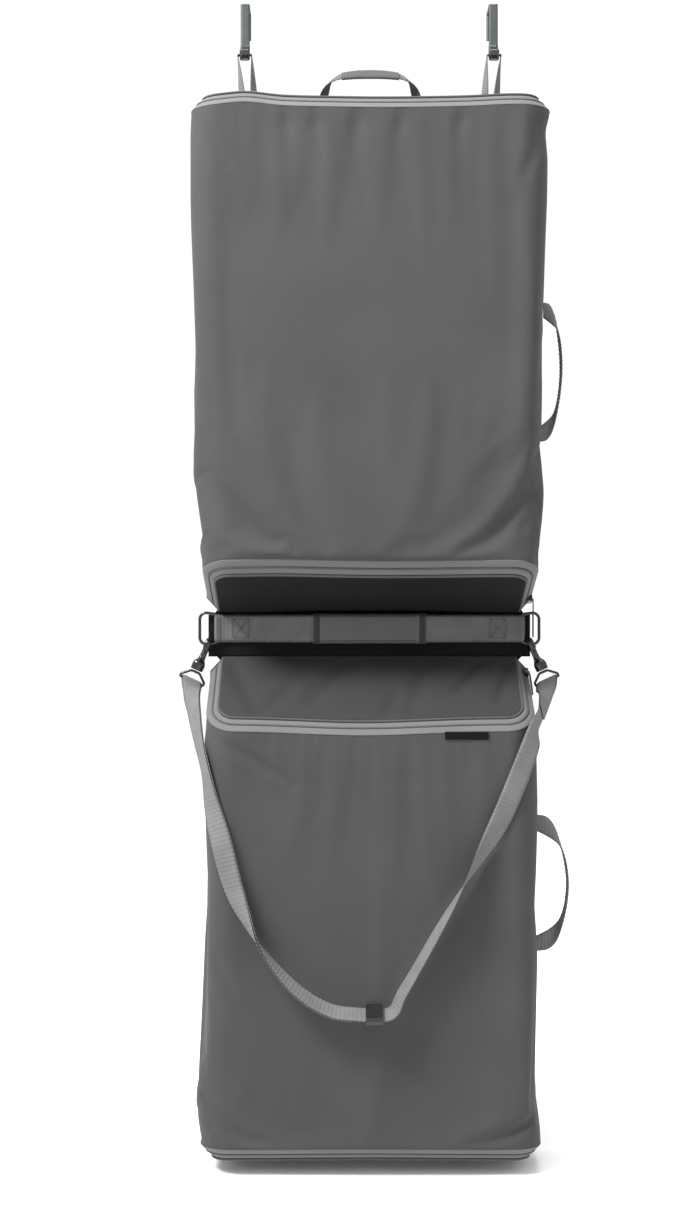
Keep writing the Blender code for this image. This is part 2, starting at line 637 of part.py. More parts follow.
def main():
    hooks = pivot("door_hooks", (0, 0, 0))
    upper = pivot("upper_case_joint", (0, TROUGH.y, SWING_Z), hooks)
    spine = pivot("spine_joint", (0, BACK_Y, SPINE_TOP), upper)
    lower = pivot("lower_case_joint", (0, BACK_Y, SPINE_BOTTOM), spine)
    for side in (-1, 1):
        door_hook(side, hooks)
        hanging_loop(side, upper)

    lids = {}
    for name, end in ENDS.items():
        case = upper if name.startswith("upper") else lower
        lids[name] = pivot(name + "_lid_joint", (0, HINGE_Y, end["lid"][1]), case)
    build_case("upper", "upper_top", "upper_bottom", upper, lids)
    build_case("lower", "lower_top", "lower_bottom", lower, lids)
    for name in ENDS:
        build_zip(name, upper if name.startswith("upper") else lower)

    base = ENDS["upper_top"]["lid"][0] + LID / 2
    top_handle(pivot("top_handle_joint", (0, TOP_HANDLE_Y, base), lids["upper_top"]))
    for case, body in (("upper", upper), ("lower", lower)):
        sizes = SIDE_HANDLES[case]
        middle = (sum(sizes["walls"]) / 2, HANDLE_Y, (sizes["top"] + sizes["bottom"]) / 2)
        side_handle(case + "_side_handle", pivot(case + "_side_handle_joint", middle, body), **sizes)
        garment_strap(case, GARMENT_STRAPS[case], body)
    woven_label(lower)
    hanger_bracket(upper, pivot("lock_bar_joint", (0, LOCK_BAR.y, LOCK_BAR.z), upper))

    spine_panel(spine)
    carry_handle(spine)
    strap = pivot("shoulder_strap_joint", (0, RING_Y, HOOK_ON_RING.z), spine)
    frames = []
    for side_name, side in (("left", -1), ("right", 1)):
        ring = pivot("d_ring_joint_" + side_name, (side * RING_X, RING_Y, CARRY_Z), spine)
        d_ring("d_ring_" + side_name, side, ring)
        frame = hook_frame(side)
        frames.append(frame)
        swivel = pivot("swivel_joint_" + side_name, frame @ Vector((0, 0, -SWIVEL_DROP)), strap)
        gate = pivot("gate_joint_" + side_name, frame @ Vector((0, -HOOK_RADIUS, -GATE_DROP)), swivel)
        snap_hook(side_name, frame, swivel, gate)
        swivel_eye(side_name, frame, strap)
    shoulder_strap(frames, strap)
    tri_glide(pivot("tri_glide_joint", (0.004, *GLIDE_AT[1:3]), strap))


main()
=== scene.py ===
"""Looks of the bi-fold garment bag: cloth cases, zips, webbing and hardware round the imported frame."""

import math

import bpy
import numpy as np
from mathutils import Matrix, Vector


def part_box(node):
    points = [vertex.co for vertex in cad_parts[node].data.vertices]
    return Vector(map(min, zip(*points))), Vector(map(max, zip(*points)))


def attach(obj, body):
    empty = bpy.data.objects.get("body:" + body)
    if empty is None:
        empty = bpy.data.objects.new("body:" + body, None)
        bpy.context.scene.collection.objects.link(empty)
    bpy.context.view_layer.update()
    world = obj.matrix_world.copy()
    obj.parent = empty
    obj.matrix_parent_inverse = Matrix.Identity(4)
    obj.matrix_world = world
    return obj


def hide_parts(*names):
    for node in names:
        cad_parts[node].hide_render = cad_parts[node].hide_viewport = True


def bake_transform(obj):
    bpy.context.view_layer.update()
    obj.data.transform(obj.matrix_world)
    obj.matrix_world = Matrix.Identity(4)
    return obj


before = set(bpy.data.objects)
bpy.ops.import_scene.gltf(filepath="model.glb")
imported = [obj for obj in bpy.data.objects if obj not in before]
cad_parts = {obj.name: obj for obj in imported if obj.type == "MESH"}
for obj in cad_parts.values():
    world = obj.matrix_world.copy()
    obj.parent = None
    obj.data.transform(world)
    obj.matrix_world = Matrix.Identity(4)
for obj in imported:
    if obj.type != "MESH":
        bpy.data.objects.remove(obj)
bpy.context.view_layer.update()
scene = bpy.context.scene

# Case ends: half width, heights of the shell's and of the lid's edge at the front and at the back, how far
# the lid's front edge stands behind the case's front, and which way the lid faces.
ENDS = {
    "upper_top": dict(half=0.237, shell=(-0.175, -0.175), lid=(-0.158, -0.158), depth=0.017, up=1),
    "upper_bottom": dict(half=0.222, shell=(-0.769, -0.816), lid=(-0.790, -0.836), depth=0.012, up=-1),
    "lower_top": dict(half=0.217, shell=(-0.991, -0.918), lid=(-0.974, -0.898), depth=0.017, up=1),
    "lower_bottom": dict(half=0.225, shell=(-1.5385, -1.5385), lid=(-1.5555, -1.5555), depth=0.017, up=-1),
}
BACK_Y, FRONT_Y, HINGE_Y = -0.006, -0.136, -0.010
CORNER_RADIUS, BEVEL = 0.038, 0.017
SIDE_POINTS, CORNER_POINTS, FRONT_POINTS = 18, 10, 64

# How far each case's cloth stands outside its straight side: (height, offset) from top to bottom
WIDEN = {
    ("upper", -1): [(-0.175, 0.002), (-0.29, 0.005), (-0.476, 0.0035), (-0.74, 0.004), (-0.80, 0.0)],
    ("upper", 1): [(-0.175, 0.001), (-0.195, -0.0066), (-0.2375, 0.0), (-0.423, 0.0033), (-0.62, 0.003),
                   (-0.79, 0.0)],
    ("lower", -1): [(-0.95, 0.001), (-1.006, 0.0046), (-1.085, 0.002), (-1.191, -0.002), (-1.35, -0.0004),
                    (-1.483, 0.0043), (-1.538, 0.001)],
    ("lower", 1): [(-0.95, 0.001), (-1.006, 0.0034), (-1.112, 0.0058), (-1.2245, 0.0016), (-1.284, 0.0047),
                   (-1.35, 0.0024), (-1.483, -0.0022), (-1.538, 0.001)],
}
BULGE = {"upper": 0.0065, "lower": 0.003}

# Side handles, sewn to the right wall: its x and z at the upper and lower foot, and how far the grip reaches
HANDLES = {
    "upper": dict(walls=(0.2318, 0.2276), ends=(-0.432, -0.598), reach=0.026),
    "lower": dict(walls=(0.2202, 0.2225), ends=(-1.118, -1.280), reach=0.043),
}
HANDLE_Y = -0.071

# How each end's zip rises or sags across its front: (middle x, half width, height)
SAGS = {
    "upper_top": [(-0.165, 0.035, 0.0050), (0.185, 0.040, 0.0020), (0.020, 0.120, -0.0025)],
    "upper_bottom": [(0.030, 0.090, -0.0014), (-0.120, 0.050, 0.0010)],
    "lower_top": [(-0.010, 0.110, -0.0055)],
    "lower_bottom": [(0.000, 0.120, 0.0010)],
}
for end_name, lifts in SAGS.items():
    ENDS[end_name]["sags"] = lifts

# Creases on each case's front: both ends as (x, z), half width and depth, a valley where positive
CREASES = {
    "upper": [
        ((-0.115, -0.180), (-0.105, -0.215), 0.011, 0.0030),
        ((-0.075, -0.180), (-0.070, -0.222), 0.012, 0.0032),
        ((-0.018, -0.180), (-0.020, -0.226), 0.014, 0.0035),
        ((0.040, -0.180), (0.036, -0.220), 0.012, 0.0030),
        ((0.120, -0.180), (0.114, -0.212), 0.010, 0.0028),
        ((-0.222, -0.195), (-0.185, -0.250), 0.007, 0.0035),
        ((0.232, -0.195), (0.200, -0.265), 0.009, 0.0045),
        ((0.205, -0.262), (0.170, -0.330), 0.016, 0.0022),
        ((-0.190, -0.600), (-0.120, -0.700), 0.013, 0.0022),
        ((-0.215, -0.655), (-0.130, -0.745), 0.010, 0.0026),
        ((0.190, -0.610), (0.110, -0.690), 0.014, 0.0020),
        ((0.205, -0.680), (0.150, -0.750), 0.010, 0.0024),
        ((0.080, -0.640), (0.020, -0.735), 0.020, -0.0018),
        ((-0.150, -0.320), (-0.060, -0.520), 0.030, -0.0014),
    ],
    "lower": [
        ((-0.200, -1.000), (-0.100, -1.062), 0.008, 0.0048),
        ((-0.100, -1.062), (-0.030, -1.110), 0.014, 0.0020),
        ((-0.212, -1.020), (-0.150, -1.140), 0.012, 0.0025),
        ((-0.218, -1.265), (-0.180, -1.330), 0.008, 0.0030),
        ((-0.216, -1.320), (-0.175, -1.400), 0.009, 0.0025),
        ((-0.215, -1.470), (-0.170, -1.525), 0.009, 0.0030),
        ((0.216, -1.495), (0.180, -1.520), 0.008, 0.0035),
        ((0.200, -1.040), (0.160, -1.120), 0.013, 0.0022),
        ((0.080, -1.400), (0.160, -1.500), 0.022, -0.0016),
        ((-0.060, -1.380), (-0.120, -1.490), 0.024, 0.0014),
    ],
}
CREASE_GAIN = 1.25


def between(a, b, t):
    return a + (b - a) * t


# Materials


def woven(name, colour, period, relief, roughness=0.85, sheen=0.05, mottle=0.14, patch=9.0,
          specular=0.3):
    """Cloth: a plain weave from the piece's own metres, with soft uneven colour and a little fuzz."""
    made = bpy.data.materials.new(name)
    made.use_nodes = True
    tree = made.node_tree
    shader = tree.nodes["Principled BSDF"]
    shader.inputs["Roughness"].default_value = roughness
    shader.inputs["Sheen Weight"].default_value = sheen
    shader.inputs["Sheen Roughness"].default_value = 0.45
    shader.inputs["Specular IOR Level"].default_value = specular
    place = tree.nodes.new("ShaderNodeTexCoord")
    heights = []
    for way in ("X", "Y"):
        wave = tree.nodes.new("ShaderNodeTexWave")
        wave.bands_direction = way
        wave.inputs["Scale"].default_value = math.pi / 10 / period
        wave.inputs["Distortion"].default_value = 0.4
        tree.links.new(place.outputs["UV"], wave.inputs["Vector"])
        heights.append(wave.outputs["Fac"])
    weave = tree.nodes.new("ShaderNodeMath")
    weave.operation = "MULTIPLY"
    tree.links.new(heights[0], weave.inputs[0])
    tree.links.new(heights[1], weave.inputs[1])
    noise = tree.nodes.new("ShaderNodeTexNoise")
    noise.inputs["Scale"].default_value = patch
    noise.inputs["Detail"].default_value = 6.0
    tree.links.new(place.outputs["Object"], noise.inputs["Vector"])
    thread = tree.nodes.new("ShaderNodeMath")
    thread.operation = "MULTIPLY_ADD"
    thread.inputs[1].default_value = 0.35
    tree.links.new(weave.outputs[0], thread.inputs[0])
    tree.links.new(noise.outputs["Fac"], thread.inputs[2])
    ramp = tree.nodes.new("ShaderNodeValToRGB")
    ramp.color_ramp.elements[0].position = 0.25
    ramp.color_ramp.elements[1].position = 0.95
    ramp.color_ramp.elements[0].color = (*[c * (1 - mottle) for c in colour], 1)
    ramp.color_ramp.elements[1].color = (*[c * (1 + mottle) for c in colour], 1)
    tree.links.new(thread.outputs[0], ramp.inputs["Fac"])
    tree.links.new(ramp.outputs["Color"], shader.inputs["Base Color"])
    bump = tree.nodes.new("ShaderNodeBump")
    bump.inputs["Strength"].default_value = 0.6
    bump.inputs["Distance"].default_value = relief
    tree.links.new(weave.outputs[0], bump.inputs["Height"])
    tree.links.new(bump.outputs["Normal"], shader.inputs["Normal"])
    return made


def hard(name, colour, roughness, metallic=0.0, coat=0.0, grain=0.00005, scale=900.0):
    """Moulded or coated hardware: a fine grain in the bump, with handling marks in the roughness."""
    made = bpy.data.materials.new(name)
    made.use_nodes = True
    tree = made.node_tree
    shader = tree.nodes["Principled BSDF"]
    shader.inputs["Metallic"].default_value = metallic
    shader.inputs["Coat Weight"].default_value = coat
    shader.inputs["Coat Roughness"].default_value = 0.12
    place = tree.nodes.new("ShaderNodeTexCoord")
    fine, broad = (tree.nodes.new("ShaderNodeTexNoise") for _ in range(2))
    fine.inputs["Scale"].default_value = scale
    broad.inputs["Scale"].default_value = 60.0
    for noise in (fine, broad):
        tree.links.new(place.outputs["Object"], noise.inputs["Vector"])
    wear = tree.nodes.new("ShaderNodeMapRange")
    wear.inputs["To Min"].default_value = roughness * 0.75
    wear.inputs["To Max"].default_value = roughness * 1.3
    tree.links.new(broad.outputs["Fac"], wear.inputs["Value"])
    tree.links.new(wear.outputs["Result"], shader.inputs["Roughness"])
    ramp = tree.nodes.new("ShaderNodeValToRGB")
    ramp.color_ramp.elements[0].color = (*[c * 0.85 for c in colour], 1)
    ramp.color_ramp.elements[1].color = (*[c * 1.15 for c in colour], 1)
    tree.links.new(broad.outputs["Fac"], ramp.inputs["Fac"])
    tree.links.new(ramp.outputs["Color"], shader.inputs["Base Color"])
    bump = tree.nodes.new("ShaderNodeBump")
    bump.inputs["Distance"].default_value = grain
    tree.links.new(fine.outputs["Fac"], bump.inputs["Height"])
    tree.links.new(bump.outputs["Normal"], shader.inputs["Normal"])
    return made


POLYESTER = woven("dark_grey_polyester", (0.036, 0.036, 0.037), 0.0009, 0.00012)
# Painted shade: the same polyester made darker for the lower case's top lid, which lies in the shade under
# the upper case.
LOWER_LID_SHADE_POLYESTER = woven("lower_lid_painted_shade_polyester", (0.020, 0.020, 0.021), 0.0009, 0.00012)
SHADED_POLYESTER = woven("shaded_end_polyester", (0.009, 0.009, 0.0095), 0.0009, 0.00012,
                         sheen=0.0, specular=0.08)
# Painted shade: the spine is the same dark grey cloth, coloured near-black for the shade deep in the recess
# between the two cases.
SPINE_SHADE_CLOTH = woven("spine_cloth_painted_shade", (0.005, 0.005, 0.0055), 0.0009, 0.00012, sheen=0.0, specular=0.08)
TAPE_CLOTH = woven("grey_zip_tape", (0.098, 0.098, 0.100), 0.0007, 0.0001)
DARK_TAPE = woven("grey_piping_cloth", (0.050, 0.050, 0.051), 0.0007, 0.0001)
WEBBING = woven("grey_webbing", (0.115, 0.115, 0.117), 0.0012, 0.0003, mottle=0.18, patch=40.0)
DARK_WEBBING = woven("darker_carry_webbing", (0.088, 0.088, 0.090), 0.0012, 0.0003, mottle=0.18, patch=40.0)
GRIP_CLOTH = woven("grip_cloth", (0.074, 0.074, 0.076), 0.0010, 0.0002)
TOP_GRIP_CLOTH = woven("top_grip_cloth", (0.048, 0.048, 0.049), 0.0010, 0.0002)
LABEL_CLOTH = woven("black_label_cloth", (0.004, 0.004, 0.0045), 0.0005, 0.00006, sheen=0.0, specular=0.08)
COIL = hard("black_nylon_coil", (0.03, 0.03, 0.032), 0.4)
THREAD = woven("dark_thread", (0.022, 0.022, 0.023), 0.0004, 0.00005)
BLACK_METAL = hard("glossy_black_metal", (0.007, 0.007, 0.0075), 0.26, 0.3, 0.35, 0.00002)
BLACK_PLASTIC = hard("black_acetal", (0.006, 0.006, 0.0065), 0.3)
BOARD = hard("black_board", (0.05, 0.05, 0.05), 0.6, grain=0.0002, scale=300.0)
HOOK_STEEL = hard("grey_painted_steel", (0.040, 0.048, 0.047), 0.42, 0.3, 0.3)
HOOK_DIP = hard("black_dipped_lip", (0.014, 0.014, 0.015), 0.3, coat=0.4)


# Mesh building


def mesh_object(name, points, faces, finish, uvs=None):
    mesh = bpy.data.meshes.new(name)
    mesh.from_pydata(np.asarray(points).reshape(-1, 3).tolist(), [], faces)
    if uvs is not None:
        layer = mesh.uv_layers.new(name="metres")
        corners = np.empty(len(mesh.loops), np.int32)
        mesh.loops.foreach_get("vertex_index", corners)
        layer.data.foreach_set("uv", np.asarray(uvs, np.float32).reshape(-1, 2)[corners].ravel())
    mesh.materials.append(finish)
    mesh.shade_smooth()
    obj = bpy.data.objects.new(name, mesh)
    scene.collection.objects.link(obj)
    return obj


def run_lengths(points):
    steps = np.linalg.norm(np.diff(points, axis=0), axis=1)
    return np.concatenate([[0.0], np.cumsum(steps)])


def grid(name, rows, finish, ring=False, caps=False):
    """A surface through rows of points. ring closes each row on itself, and caps closes both ends."""
    rows = np.asarray(rows)
    high, wide = rows.shape[:2]
    faces = []
    for r in range(high - 1):
        for c in range(wide if ring else wide - 1):
            d = (c + 1) % wide
            faces.append((r * wide + c, r * wide + d, (r + 1) * wide + d, (r + 1) * wide + c))
    if caps:
        faces += [tuple(range(wide))[::-1], tuple((high - 1) * wide + i for i in range(wide))]
    along = run_lengths(rows.mean(axis=1))
    across = run_lengths(rows[high // 2])
    uvs = np.stack(np.meshgrid(across, along), axis=-1)
    return mesh_object(name, rows, faces, finish, uvs)


def solid(obj, thickness, offset=-1.0):
    wall = obj.modifiers.new("wall", "SOLIDIFY")
    wall.thickness = thickness
    wall.offset = offset
    return obj


def place(obj, body, slot, *nodes):
    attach(obj, body)
    if nodes:
        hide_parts(*nodes)
    return obj


def through(points, steps=6):
    """Points on a smooth curve through the given ones."""
    points = np.asarray(points, float)
    padded = np.concatenate([points[:1], points, points[-1:]])
    made = []
    for a, b, c, d in zip(padded, padded[1:], padded[2:], padded[3:]):
        for t in np.arange(steps) / steps:
            made.append(0.5 * (2 * b + (c - a) * t + (2 * a - 5 * b + 4 * c - d) * t ** 2
                               + (3 * b - a - 3 * c + d) * t ** 3))
    return np.array(made + [points[-1]])


def even(points, step):
    """The same line with its points a fixed step apart, measured on the first three values of each."""
    lengths = run_lengths(points[:, :3])
    places = np.linspace(0, lengths[-1], max(2, round(lengths[-1] / step) + 1))
    return np.stack([np.interp(places, lengths, column) for column in points.T], axis=1), places


def unit(v):
    return v / np.maximum(np.linalg.norm(v, axis=-1, keepdims=True), 1e-9)


def webbing(name, path, sides, thickness, finish, rib=0.0055, relief=0.00028, steps=6):
    """A woven band with rounded edges and ribs; each side vector reaches from its middle to its edge."""
    rows = np.array([[*p, *s] for p, s in zip(path, sides)])
    line, places = even(through(rows, steps), rib / 4)
    middle, side = line[:, :3], line[:, 3:]
    face = unit(np.cross(side, np.gradient(middle, axis=0)))
    a = np.linspace(-1, 1, 9)
    rounding = np.sqrt(1 - np.abs(a) ** 8)
    swell = relief * np.cos(2 * np.pi * places / rib)
    half = (thickness / 2 + swell)[:, None] * rounding[None, :]
    front = middle[:, None] + side[:, None] * a[None, :, None] + face[:, None] * half[:, :, None]
    rear = middle[:, None] + side[:, None] * a[None, :, None] - face[:, None] * half[:, :, None]
    return grid(name, np.concatenate([front, rear[:, -2:0:-1]], axis=1), finish, ring=True, caps=True)


def rod(name, path, radius, finish, sides=12, closed=False):
    """A round bar along a path, whose radius may vary along it."""
    path = np.asarray(path, float)
    if closed:
        tangent = unit(np.roll(path, -1, axis=0) - np.roll(path, 1, axis=0))
    else:
        tangent = unit(np.gradient(path, axis=0))
    radius = np.broadcast_to(radius, len(path))
    normal = unit(np.cross(tangent[0], [0.31, 0.17, 0.93]))
    rows, turns = [], np.arange(sides) * 2 * np.pi / sides
    for point, along, r in zip(path, tangent, radius):
        normal = unit(normal - along * np.dot(normal, along))
        other = np.cross(along, normal)
        rows.append(point + r * (np.cos(turns)[:, None] * normal + np.sin(turns)[:, None] * other))
    if closed:
        # The last row meets the first where its points lie nearest to them.
        shift = min(range(sides), key=lambda k: np.linalg.norm(np.roll(rows[0], k, axis=0) - rows[-1]))
        rows.append(np.roll(rows[0], shift, axis=0))
    return grid(name, rows, finish, ring=True, caps=not closed)


def stitches(name, lines, out, finish, pitch=0.0034, length=0.0026, width=0.0006):
    """Short raised threads along straight lines; out is the way that they stand off the cloth."""
    points, faces = [], []
    out = np.asarray(out, float)
    for start, end in lines:
        start, end = np.asarray(start, float), np.asarray(end, float)
        along = unit(end - start)
        across = np.cross(along, out)
        for k in range(max(1, int(np.linalg.norm(end - start) / pitch))):
            middle = start + along * (k + 0.5) * pitch
            low = len(points)
            points += [middle - along * length / 2, middle + along * length / 2, middle + across * width,
                       middle - across * width, middle + out * width, middle - out * width]
            for tip in (0, 1):
                for a, b in ((2, 4), (4, 3), (3, 5), (5, 2)):
                    faces.append((low + tip, low + (a if tip else b), low + (b if tip else a)))
    return mesh_object(name, points, faces, finish, np.zeros((len(points), 2)))


# Cases


def ring(end, s):
    """Left back corner, round the front, to the right back corner of a case end; s runs from shell to lid."""
    half, radius = end["half"] - s * BEVEL, CORNER_RADIUS - s * BEVEL
    front = FRONT_Y + s * end["depth"]
    turns = np.linspace(np.pi, 1.5 * np.pi, CORNER_POINTS + 2)[1:-1]
    side = np.stack([np.full(SIDE_POINTS, -half), np.linspace(HINGE_Y, front + radius, SIDE_POINTS)], axis=1)
    bend = np.stack(
        [-half + radius + radius * np.cos(turns), front + radius + radius * np.sin(turns)], axis=1)
    left = np.concatenate([side, bend])
    right = left[::-1] * (-1, 1)
    across = np.linspace(-half + radius, half - radius, FRONT_POINTS)
    flat = np.concatenate([left, np.stack([across, np.full(FRONT_POINTS, front)], axis=1), right])
    at_front, at_back = (between(end["shell"][i], end["lid"][i], s) for i in (0, 1))
    z = between(at_back, at_front, (HINGE_Y - flat[:, 1]) / (HINGE_Y - front))
    on_front = np.clip((HINGE_Y - flat[:, 1]) / (HINGE_Y - front), 0, 1) ** 4
    for middle, width, height in end["sags"]:
        z = z + height * on_front * np.exp(-((flat[:, 0] - middle) / width) ** 2)
    return np.column_stack([flat, z])


def settle(obj, pinned, frames=22, excess=0.005, pressure=0.25, cap=0.007):
    """Lets the cloth find its own folds, with its pinned points held, and keeps the shape that it reaches."""
    hold = obj.vertex_groups.new(name="pinned")
    hold.add([int(i) for i in pinned], 1.0, "REPLACE")
    cloth = obj.modifiers.new("cloth", "CLOTH")
    settings = cloth.settings
    settings.quality = 5
    settings.mass = 0.15
    settings.tension_stiffness = settings.compression_stiffness = 25.0
    settings.shear_stiffness = 12.0
    settings.bending_stiffness = 2.0
    settings.vertex_group_mass = "pinned"
    settings.shrink_min = -excess
    settings.use_pressure = True
    settings.uniform_pressure_force = pressure
    settings.effector_weights.gravity = 0.2
    cloth.point_cache.frame_end = frames
    for step in range(1, frames + 1):
        scene.frame_set(step)
    settled = obj.evaluated_get(bpy.context.evaluated_depsgraph_get())
    count = len(obj.data.vertices) * 3
    before, after = np.empty(count, np.float32), np.empty(count, np.float32)
    obj.data.vertices.foreach_get("co", before)
    settled.data.vertices.foreach_get("co", after)
    moved = (after - before).reshape(-1, 3)
    far = np.linalg.norm(moved, axis=1, keepdims=True)
    moved *= np.minimum(1.0, cap / np.maximum(far, 1e-9))
    obj.modifiers.remove(cloth)
    obj.data.vertices.foreach_set("co", before + moved.ravel())
    obj.data.update()
    scene.frame_set(1)


def crease_depth(case, x, z):
    depth = np.zeros_like(x)
    for (x0, z0), (x1, z1), width, deep in CREASES[case]:
        dx, dz = x1 - x0, z1 - z0
        t = np.clip(((x - x0) * dx + (z - z0) * dz) / (dx * dx + dz * dz), 0, 1)
        away = np.hypot(x - x0 - t * dx, z - z0 - t * dz)
        fade = 0.35 + 0.65 * np.sin(np.pi * np.clip(t, 0.08, 0.92))
        depth += CREASE_GAIN * deep * np.exp(-(away / width) ** 2) * fade
    return depth


def lie_flat(obj, case):
    """Holds the right wall's cloth down where its handle is sewn on, so that the handle swings clear."""
    walls, ends = HANDLES[case]["walls"], HANDLES[case]["ends"]
    under, half_width, margin = 0.0020, 0.040, 0.035
    side_fade, end_fade = 0.022, 0.020
    points = np.empty(len(obj.data.vertices) * 3, np.float32)
    obj.data.vertices.foreach_get("co", points)
    x, y, z = points.reshape(-1, 3).T
    level = between(*walls, (z - ends[0]) / (ends[1] - ends[0])) - under
    beside = np.clip((half_width - np.abs(y - HANDLE_Y)) / side_fade, 0, 1)
    along = np.clip((margin - np.maximum(z - ends[0], ends[1] - z)) / end_fade, 0, 1)
    weight = (3 - 2 * beside) * beside ** 2 * (3 - 2 * along) * along ** 2
    x -= np.where(x > 0, np.maximum(0, x - level) * weight, 0)
    obj.data.vertices.foreach_set("co", np.column_stack([x, y, z]).astype(np.float32).ravel())
    obj.data.update()


def case_cloth(case, steps=112):
    """The front and both sides of a case, one piece of cloth held by the zips and by the back's seams."""
    top, bottom = (ring(ENDS[case + place], 0.0) for place in ("_top", "_bottom"))
    t = np.linspace(0, 1, steps)[:, None]
    rows = top[None] * (1 - t[..., None]) + bottom[None] * t[..., None]
    x, y, z = rows[..., 0].copy(), rows[..., 1].copy(), rows[..., 2].copy()
    held = np.sin(np.pi * t)
    forward = np.clip((HINGE_Y - y) / (HINGE_Y - FRONT_Y), 0, 1)
    half = np.abs(x).max(axis=1, keepdims=True)
    outer = np.clip(np.abs(x) / half, 0, 1) ** 6 * np.sin(np.clip(forward * 1.6, 0, 1) * np.pi / 2)
    for side in (-1, 1):
        heights, offsets = zip(*reversed(WIDEN[case, side]))
        widen = np.interp(z, heights, offsets) * np.minimum(1, held * 6)
        rows[..., 0] += np.where(np.sign(x) == side, side * widen * outer, 0)
    middle = np.cos(np.clip(x / half, -1, 1) * np.pi / 2) ** 0.6
    on_front = forward ** 4
    rows[..., 1] -= BULGE[case] * held ** 0.7 * middle * on_front
    rows[..., 1] += crease_depth(case, x, z) * on_front * np.minimum(1, held * 10)
    obj = grid(case + "_case_cloth", rows, POLYESTER)
    number = np.arange(rows.shape[0] * rows.shape[1]).reshape(rows.shape[:2])
    pinned = np.unique(np.concatenate([number[0], number[-1], number[:, 0], number[:, -1]]))
    settle(obj, pinned, cap=0.005 if case == "lower" else 0.007)
    lie_flat(obj, case)
    finer = obj.modifiers.new("finer", "SUBSURF")
    finer.levels = finer.render_levels = 1
    solid(obj, 0.001, 1.0)
    place(obj, case + "_case", "case_fabric", case + "_shell")


def belt_rows(end, places, lifts):
    """Rows along a zip: each is a place between shell and lid, lifted off the slanted band by its lift."""
    low, high = ring(end, 0.0), ring(end, 1.0)
    slant = unit(high - low)
    out = unit(np.cross(np.gradient(low, axis=0), slant))
    outward = low - [0.0, HINGE_Y, 0.0]
    out *= np.where((out[:, :2] * outward[:, :2]).sum(axis=1) < 0, -1.0, 1.0)[:, None]
    return np.array([low + (high - low) * s + out * lift for s, lift in zip(places, lifts)])


def zip_belt(name, end, case_body):
    """A zip round three sides: tape, two coil rows and tape, with a piped edge on the lid."""
    lid_body = name + "_lid"
    for part, start, stop, body, finish in (
        ("shell", -0.03, 0.42, case_body, TAPE_CLOTH), ("lid", 0.50, 0.84, lid_body, TAPE_CLOTH)
    ):
        s = np.linspace(start, stop, 9)
        crown = 0.0005 * np.sin(np.pi * (s - start) / (stop - start)) - 0.0003
        tape = grid(f"{name}_{part}_tape", belt_rows(end, s, crown), finish)
        solid(tape, 0.0006, 0.0)
        place(tape, body, "zip_tape", f"{name}_zip_{part}_tape")
    tooth = 0.0022
    for part, s, body in (("shell", 0.445, case_body), ("lid", 0.478, lid_body)):
        path, places = even(belt_rows(end, [s], [0.0004])[0], tooth / 4)
        radius = 0.0008 + 0.0003 * np.cos(2 * np.pi * places / tooth)
        place(rod(f"{name}_{part}_coil", path, radius, COIL, sides=6), body, "black_plastic")
    edge = belt_rows(end, [0.94], [0.0003])[0]
    place(rod(name + "_piping", edge, 0.0018, DARK_TAPE, sides=10), lid_body, "zip_tape")


def lid_panel(name, end, finish, crown, creases=()):
    """A lid's cloth, from its piped edge back to the hinge line, crowned outwards."""
    rim = ring(end, 0.97)
    half = np.abs(rim[:, 0]).max()
    back = np.column_stack([
        np.linspace(-half, half, len(rim)), np.full(len(rim), HINGE_Y), np.full(len(rim), end["lid"][1])])
    t = np.linspace(0, 1, 28)[:, None, None]
    rows = rim[None] * (1 - t) + back[None] * t
    x, y = rows[..., 0], rows[..., 1]
    across = np.clip(1 - (x / half) ** 2, 0, 1) ** 0.5
    deep = np.sin(np.pi * np.clip((HINGE_Y - y) / (HINGE_Y - rim[:, 1].min()), 0, 1))
    lift = crown * across * deep
    for (x0, y0), (x1, y1), width, depth in creases:
        square = (x1 - x0) ** 2 + (y1 - y0) ** 2
        t_on = np.clip(((x - x0) * (x1 - x0) + (y - y0) * (y1 - y0)) / square, 0, 1)
        away = np.hypot(x - x0 - t_on * (x1 - x0), y - y0 - t_on * (y1 - y0))
        lift = lift - depth * np.exp(-(away / width) ** 2) * np.minimum(1, deep * 3)
    drop = end["lid"][0] - end["lid"][1]
    normal = unit(np.array([0.0, drop / (HINGE_Y - rim[:, 1].min()), 1.0])) * end["up"]
    rows = rows + lift[..., None] * normal
    panel = grid(name + "_panel", rows, finish)
    layer = panel.data.uv_layers[0].data
    corners = np.empty(len(panel.data.loops), np.int32)
    panel.data.loops.foreach_get("vertex_index", corners)
    layer.foreach_set("uv", rows.reshape(-1, 3)[corners][:, :2].astype(np.float32).ravel())
    solid(panel, 0.0016, 0.0)
    place(panel, name + "_lid", "case_fabric", name + "_lid")


